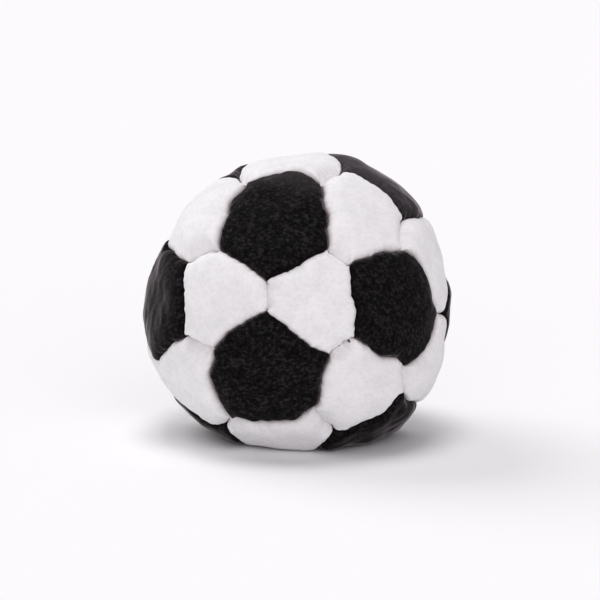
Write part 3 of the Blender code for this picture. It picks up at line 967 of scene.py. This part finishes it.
def ramp(tree, share, *stops):
    """The colour of a share on a ramp with stops of (place, colour)."""
    node = add(tree, "ShaderNodeValToRGB", Fac=share)
    elements = node.color_ramp.elements
    while len(elements) < len(stops):
        elements.new(0.5)
    for element, (place, colour) in zip(elements, stops):
        element.position = place
        element.color = (*colour, 1.0)
    return node.outputs["Color"]


def blend(tree, way, share, under, over):
    """Two colours blended in a way, by a share."""
    mix = add(
        tree, "ShaderNodeMix", data_type="RGBA", blend_type=way, Factor=share, A=under, B=over
    )
    return mix.outputs["Result"]


def new_material(name):
    """A material of a name, its nodes and its main shader."""
    material = bpy.data.materials.new(name)
    material.use_nodes = True
    return material, material.node_tree, material.node_tree.nodes["Principled BSDF"]


def new_group(name, inputs, outputs):
    """A shader node group with named inputs and outputs, and its two end nodes."""
    group = bpy.data.node_groups.new(name, "ShaderNodeTree")
    for label, kind, value in inputs:
        socket = group.interface.new_socket(label, in_out="INPUT", socket_type=kind)
        if value is not None:
            socket.default_value = value
    for label in outputs:
        group.interface.new_socket(label, in_out="OUTPUT", socket_type="NodeSocketFloat")
    return group, group.nodes.new("NodeGroupInput"), group.nodes.new("NodeGroupOutput")


def nap_group():
    """Brushed pile: short combed fibres, finer fuzz over them, and patches brushed another way."""
    group, inward, outward = new_group(
        "brushed_nap",
        [
            ("Vector", "NodeSocketVector", None), ("Fibre Size", "NodeSocketFloat", 1.9),
            ("Patch Size", "NodeSocketFloat", 0.25),
        ],
        ["Fleck", "Patch", "Height"],
    )
    vector, fibre_size = inward.outputs["Vector"], inward.outputs["Fibre Size"]
    combed = add(
        group, "ShaderNodeMapping", Vector=vector, Scale=(1.0, 0.75, 1.0), Rotation=(0, 0, 0.5)
    )
    warp = add(group, "ShaderNodeTexNoise", Vector=vector, Scale=0.9, Detail=2.0)
    bent = add(
        group, "ShaderNodeVectorMath", warp.outputs["Color"], (0.5, 0.5, 0.5),
        combed.outputs["Vector"], operation="MULTIPLY_ADD",
    )
    fibres = add(
        group, "ShaderNodeTexNoise", Vector=bent.outputs["Vector"], Scale=fibre_size,
        Detail=2.0, Roughness=0.5,
    )
    finer = add(group, "ShaderNodeMath", fibre_size, 3.1, operation="MULTIPLY")
    fuzz = add(
        group, "ShaderNodeTexNoise", Vector=vector, Scale=finer.outputs["Value"],
        Detail=2.0, Roughness=0.6,
    )
    pile = add(
        group, "ShaderNodeMix", data_type="FLOAT", Factor=0.28,
        A=fibres.outputs["Fac"], B=fuzz.outputs["Fac"],
    ).outputs["Result"]
    patch = add(
        group, "ShaderNodeTexNoise", Vector=vector, Scale=inward.outputs["Patch Size"],
        Detail=2.0, Roughness=0.5,
    )
    fit(group, outward, Fleck=pile, Patch=patch.outputs["Fac"], Height=pile)
    return group


def seam_group():
    """A mask that is 1 in a seam and fades as exp(-distance / reach)."""
    group, inward, outward = new_group(
        "near_seam",
        [("Distance", "NodeSocketFloat", 1.0), ("Reach", "NodeSocketFloat", 0.5)],
        ["Mask"],
    )
    distance, span = inward.outputs["Distance"], inward.outputs["Reach"]
    share = add(group, "ShaderNodeMath", distance, span, operation="DIVIDE")
    negative = add(group, "ShaderNodeMath", share.outputs["Value"], -1.0, operation="MULTIPLY")
    fade = add(group, "ShaderNodeMath", negative.outputs["Value"], operation="EXPONENT")
    fit(group, outward, Mask=fade.outputs["Value"])
    return group


def suede(name, groups, pile, darkest_patch, seam_colour, painted_sheen_colour,
          sheen, sheen_roughness, sheen_tint, bump):
    """Brushed synthetic suede: flecked pile, patches, a tint in the seams, a soft sheen.

    A painted sheen colour is added to the pile towards the top and the far side of the bag: a
    painted highlight where the pile catches the light from above.
    """
    material, tree, shader = new_material(name)
    cut = add(tree, "ShaderNodeUVMap", uv_map="cut")
    nap = add(tree, "ShaderNodeGroup", node_tree=groups["nap"], Vector=cut.outputs["UV"])
    flecks = ramp(tree, nap.outputs["Fleck"], *pile)
    patches = ramp(
        tree, nap.outputs["Patch"], (0.3, (darkest_patch,) * 3), (0.7, (1.0, 1.0, 1.0))
    )
    colour = blend(tree, "MULTIPLY", 1.0, flecks, patches)

    distance = add(tree, "ShaderNodeAttribute", attribute_name="seam_distance")
    near = add(
        tree, "ShaderNodeGroup", node_tree=groups["seam"], Distance=distance.outputs["Fac"],
        Reach=TINT_REACH,
    )
    colour = blend(tree, "MIX", near.outputs["Mask"], colour, (*seam_colour, 1.0))

    # Painted highlight: the pile is made paler towards the top and the far side, where it catches
    # the light
    place = add(tree, "ShaderNodeTexCoord").outputs["Object"]
    along = add(tree, "ShaderNodeVectorMath", place, PAINTED_SHEEN_SIDE, operation="DOT_PRODUCT")
    painted_sheen_mask = add(
        tree, "ShaderNodeMapRange", Value=along.outputs["Value"],
        From_Min=PAINTED_SHEEN_START, From_Max=PAINTED_SHEEN_END,
    )
    colour = blend(tree, "ADD", painted_sheen_mask.outputs["Result"], colour, (*painted_sheen_colour, 1.0))

    rough = add(tree, "ShaderNodeMapRange", Value=nap.outputs["Fleck"], To_Min=0.85, To_Max=1.0)
    relief = add(
        tree, "ShaderNodeBump", Height=nap.outputs["Height"], Strength=bump,
        Distance=PILE_HEIGHT * MM,
    )
    fit(
        tree, shader, Base_Color=colour, Roughness=rough.outputs["Result"],
        Normal=relief.outputs["Normal"], Specular_IOR_Level=0.05,
        Sheen_Weight=sheen, Sheen_Roughness=sheen_roughness, Sheen_Tint=(*sheen_tint, 1.0),
    )
    return material


def twisted_thread():
    """Dark polyester thread with a fine twist."""
    material, tree, shader = new_material("dark_thread")
    place = add(tree, "ShaderNodeTexCoord").outputs["Object"]
    strands = add(tree, "ShaderNodeTexNoise", Vector=place, Scale=9000.0, Detail=2.0).outputs["Fac"]
    colour = ramp(tree, strands, (0.35, (0.030, 0.016, 0.016)), (0.65, (0.085, 0.050, 0.048)))
    relief = add(tree, "ShaderNodeBump", Height=strands, Strength=0.5, Distance=0.05 * MM)
    fit(tree, shader, Base_Color=colour, Normal=relief.outputs["Normal"], Roughness=0.7)
    return material


def pellets():
    """Small plastic pellets: rounded cells, pale in their middles and dark between them, which is
    painted shading of round pellets with painted shade in the gaps.
    """
    material, tree, shader = new_material("pellets")
    place = add(tree, "ShaderNodeTexCoord").outputs["Object"]
    off = add(tree, "ShaderNodeTexVoronoi", Vector=place, Scale=380.0).outputs["Distance"]
    # Painted shade: the ramp goes from pale at each pellet's middle to dark in the gaps between
    # pellets
    colour = ramp(
        tree, off, (0.0, (0.72, 0.70, 0.64)), (0.5, (0.60, 0.58, 0.52)), (1.0, (0.25, 0.24, 0.21))
    )
    relief = add(
        tree, "ShaderNodeBump", Height=off, Strength=0.8, Distance=1.0 * MM, invert=True
    )
    fit(tree, shader, Base_Color=colour, Normal=relief.outputs["Normal"], Roughness=0.4)
    return material


def table_white():
    """The white table: a pale colour that takes the bag's shadow."""
    material, tree, shader = new_material("white_table")
    fit(tree, shader, Base_Color=(*TABLE_COLOUR, 1.0), Roughness=1.0, Specular_IOR_Level=0.0)
    return material


# Table, light and camera

def make_table():
    """A flat square under the bag, its middle at the origin."""
    mesh = bpy.data.meshes.new("table")
    corners = [(x * TABLE_HALF, y * TABLE_HALF, 0) for x, y in ((-1, -1), (1, -1), (1, 1), (-1, 1))]
    mesh.from_pydata(corners, [], [(0, 1, 2, 3)])
    mesh.materials.append(table_white())
    table = put("table", mesh)


def make_light():
    """An even sky that the camera sees as white, and the lamps."""
    bpy.context.scene.view_settings.view_transform = "Standard"
    world = bpy.data.worlds.new("studio")
    bpy.context.scene.world = world
    world.use_nodes = True
    tree = world.node_tree
    soft = fit(tree, tree.nodes["Background"], Color=(*SKY_COLOUR, 1.0), Strength=SKY_STRENGTH)
    white = add(tree, "ShaderNodeBackground", Color=(*BACKGROUND, 1.0), Strength=1.0)
    seen = add(tree, "ShaderNodeLightPath").outputs["Is Camera Ray"]
    skies = soft.outputs["Background"], white.outputs["Background"]
    sky = add(tree, "ShaderNodeMixShader", seen, *skies)
    fit(tree, tree.nodes["World Output"], Surface=sky.outputs["Shader"])
    for name, towards, strength, spread, colour in LAMPS:
        data = bpy.data.lights.new(name, "SUN")
        data.energy = strength
        data.angle = math.radians(spread)
        data.color = colour
        put(name, data).matrix_world = look(np.array(towards), np.zeros(3))


def look(place, target):
    """The matrix of a lamp or camera at a place that looks at a target, with Z up."""
    back = unit(np.asarray(place, float) - target)
    right = unit(np.cross((0, 0, 1.0), back))
    matrix = np.eye(4)
    matrix[:3] = np.stack([right, np.cross(back, right), back, place], axis=1)
    return Matrix(matrix.tolist())


def make_camera():
    """The camera looks down at the point that puts the ball's centre on its pixel.

    The lens gives the wanted pixels per metre at the ball's distance.
    """
    tip = math.radians(CAMERA_TIP)
    right, up = np.array([1, 0, 0]), np.array([0, math.sin(tip), math.cos(tip)])
    off_right, off_down = (PHOTO_SIZE / 2 - pixel for pixel in BALL_PIXEL)
    target = BALL_CENTRE * MM + (right * off_right - up * off_down) / PIXELS_PER_METRE
    data = bpy.data.cameras.new("camera")
    data.sensor_width = SENSOR_WIDTH
    data.lens = PIXELS_PER_METRE * CAMERA_DISTANCE * SENSOR_WIDTH / PHOTO_SIZE
    data.clip_start, data.clip_end = 0.05, 20.0
    camera = put("camera", data)
    back = np.array([0, -math.cos(tip), math.sin(tip)])
    camera.matrix_world = look(target + back * CAMERA_DISTANCE, target)
    bpy.context.scene.camera = camera


def main():
    """The stage first, then the panels, their stitches and the fill."""
    make_camera()
    make_light()
    make_table()
    groups = {"nap": nap_group(), "seam": seam_group()}
    black = suede("black_suede", groups, **BLACK_SUEDE)
    white = suede("white_suede", groups, **WHITE_SUEDE)
    panels = [Panel(name) for name in sorted(PANELS)]
    moves = blown_panels(panels)
    for panel, move in zip(panels, moves):
        made = build_panel(panel, move, black if panel.is_black else white)
        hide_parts(panel.name)
    thread = twisted_thread()
    for letter in BLACK_LETTERS:
        made = show("stitches_round_pentagon_" + letter.lower(), thread_round(letter), thread)
        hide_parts("thread_round_pentagon_" + letter.lower())
    made = build_fill(panels, pellets())
    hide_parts("pellet_fill")


main()
